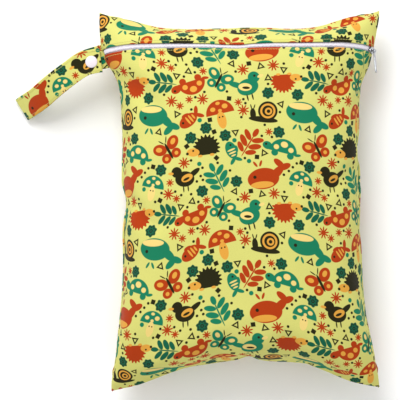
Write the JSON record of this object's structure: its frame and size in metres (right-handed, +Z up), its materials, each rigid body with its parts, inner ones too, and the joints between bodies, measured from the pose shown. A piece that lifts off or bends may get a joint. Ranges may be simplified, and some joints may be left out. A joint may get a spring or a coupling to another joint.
{
  "type": "cloth diaper wet bag",
  "caption": "Stuffed rectangular cloth zip bag lying on its back, with drawn-in seams, a coil zip under the top seam and a folded snap strap sewn into the side.",
  "frame": {"origin": "centre of the flat patch of the back panel that the bag lies on", "axes": "+X to the right across the front, towards the closed end of the zip, +Y towards the top seam, +Z up, out of the front"},
  "size_m": [0.3774, 0.3935, 0.1022],
  "materials": {
    "printed_cloth": "laminated knit with a small printed pattern, matte",
    "zip_tape": "woven white tape",
    "zip_coil": "satin nylon",
    "zip_metal": "light grey, satin",
    "snap_plastic": "white, glossy"
  },
  "bodies": {
    "bag": {"back_panel": "printed_cloth", "front_panel": "printed_cloth", "top_band": "printed_cloth", "zip_tape_lower": "zip_tape", "zip_tape_upper": "zip_tape", "zip_coil": "zip_coil", "zip_slider": "zip_metal", "strap": "printed_cloth", "snap_cap": "snap_plastic", "snap_socket": "snap_plastic", "snap_stud": "snap_plastic", "snap_back_cap": "snap_plastic"},
    "pull": {"zip_pull": "zip_metal"}
  },
  "joints": [
    {"name": "pull_swing", "type": "hinge", "parent": "bag", "child": "pull", "pos_m": [0.13785, 0.15576, 0.05141], "axis": [-0.4312, 0.3262, 0.8412], "range_deg": [-24, 155]}
  ]
}
